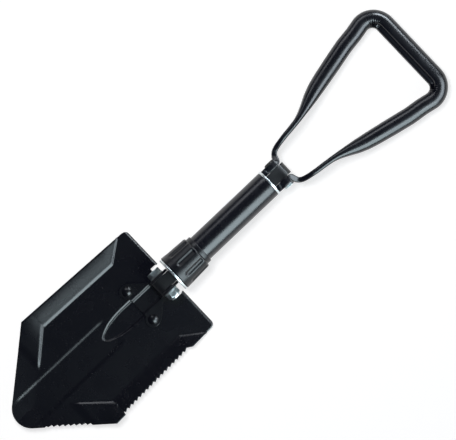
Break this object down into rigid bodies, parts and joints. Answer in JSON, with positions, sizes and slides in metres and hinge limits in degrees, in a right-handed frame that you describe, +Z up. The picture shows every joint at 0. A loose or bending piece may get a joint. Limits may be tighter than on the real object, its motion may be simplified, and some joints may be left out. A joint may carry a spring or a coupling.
{
  "type": "folding camp shovel",
  "caption": "Folding camp shovel: pointed steel blade with a saw edge, round shaft with a screw-down locking collar, and a D-shaped tubular grip that folds over the shaft.",
  "frame": {"origin": "centre of the bounding box's foot, on the surface the shovel lies on", "axes": "+X along the shovel from the blade's nose to the hand bar, +Z up out of the blade's front face, saw edge on the -Y side; the shaft leans 2.6 degrees down towards the grip because the shovel lies on its heel and hand bar"},
  "size_m": [0.5799, 0.1472, 0.0463],
  "materials": {
    "shaft_paint": "semi-gloss black powder coat",
    "handle_paint": "semi-gloss black powder coat",
    "blade_paint": "satin black powder coat",
    "bracket_paint": "satin black powder coat",
    "core_black": "black oxide steel",
    "black_bolt": "black oxide steel",
    "collar_plastic": "matt moulded nylon, dark",
    "zinc_plate": "bright zinc plate",
    "zinc_fastener": "bright zinc plate",
    "plain_steel": "plain machined steel"
  },
  "bodies": {
    "shaft": {"shaft_tube": "shaft_paint", "tie_bar": "core_black", "upper_bearing_plate": "zinc_plate", "tube_thread_sleeve": "plain_steel"},
    "end_plate": {"lower_bearing_plate": "zinc_plate"},
    "collar": {"locking_collar": "collar_plastic", "collar_thread_insert": "plain_steel"},
    "blade": {"blade": "blade_paint", "hinge_bracket": "bracket_paint", "bracket_rivets": "bracket_paint", "blade_hinge_bolt": "zinc_fastener", "blade_hinge_nut": "zinc_fastener", "blade_hinge_washers": "zinc_fastener", "blade_hinge_sleeve": "plain_steel"},
    "handle": {"d_handle": "handle_paint", "handle_hinge_bolt": "black_bolt", "handle_hinge_nut": "zinc_fastener", "handle_hinge_washer": "zinc_fastener", "handle_hinge_sleeve": "plain_steel"}
  },
  "joints": [
    {"name": "blade_fold", "type": "hinge", "parent": "shaft", "child": "blade", "pos_m": [-0.07708, 0, 0.02639], "axis": [0, 1, 0], "range_deg": [0, 180]},
    {"name": "handle_fold", "type": "hinge", "parent": "shaft", "child": "handle", "pos_m": [0.08945, 0, 0.01884], "axis": [0, -1, 0], "range_deg": [0, 180]},
    {"name": "collar_travel", "type": "slide", "parent": "shaft", "child": "end_plate", "axis": [0.999, 0, -0.0453], "range_m": [0, 0.004]},
    {"name": "collar_turn", "type": "hinge", "parent": "end_plate", "child": "collar", "pos_m": [-0.04711, 0, 0.02504], "axis": [0.999, 0, -0.0453], "range_deg": [0, 480]}
  ],
  "couplings": [
    {"joint": "collar_turn", "follows": "collar_travel", "rad_per_m": 2094.4}
  ]
}
